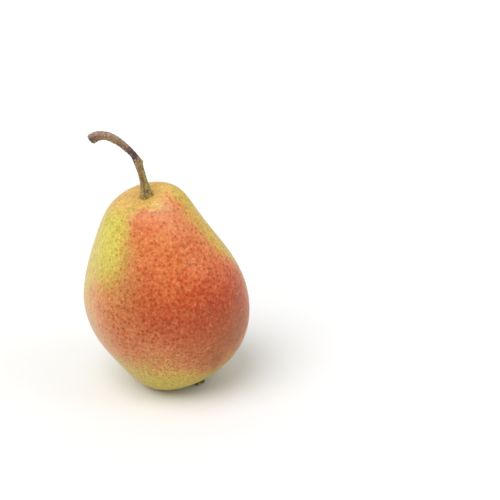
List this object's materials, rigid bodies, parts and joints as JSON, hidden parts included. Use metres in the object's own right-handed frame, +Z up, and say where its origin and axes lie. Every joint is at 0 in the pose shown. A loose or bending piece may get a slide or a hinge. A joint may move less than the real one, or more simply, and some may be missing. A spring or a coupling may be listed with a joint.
{
  "type": "pear with stem",
  "caption": "Ripe blushed pear lying slightly over on its base, with a bent woody stem and a dried calyx in a shallow basin underneath.",
  "frame": {"origin": "centre of the small flat spot on the base that the pear rests on, on the floor", "axes": "+Z up, +X to the right when the pear is seen from its front, +Y away from the viewer; the fruit leans about 14 degrees towards -X, and its stem bends towards -X"},
  "size_m": [0.0704, 0.0682, 0.1155],
  "materials": {
    "skin": "waxy fruit skin, yellow-green with a coral red blush and fine darker specks, soft semi-matte",
    "stem": "woody pear stem, olive brown below and reddish brown above a dark band, matte",
    "calyx": "dried sepals, dark brown green, matte"
  },
  "bodies": {
    "root": {"fruit": "skin", "stem": "stem", "calyx": "calyx"}
  },
  "joints": []
}
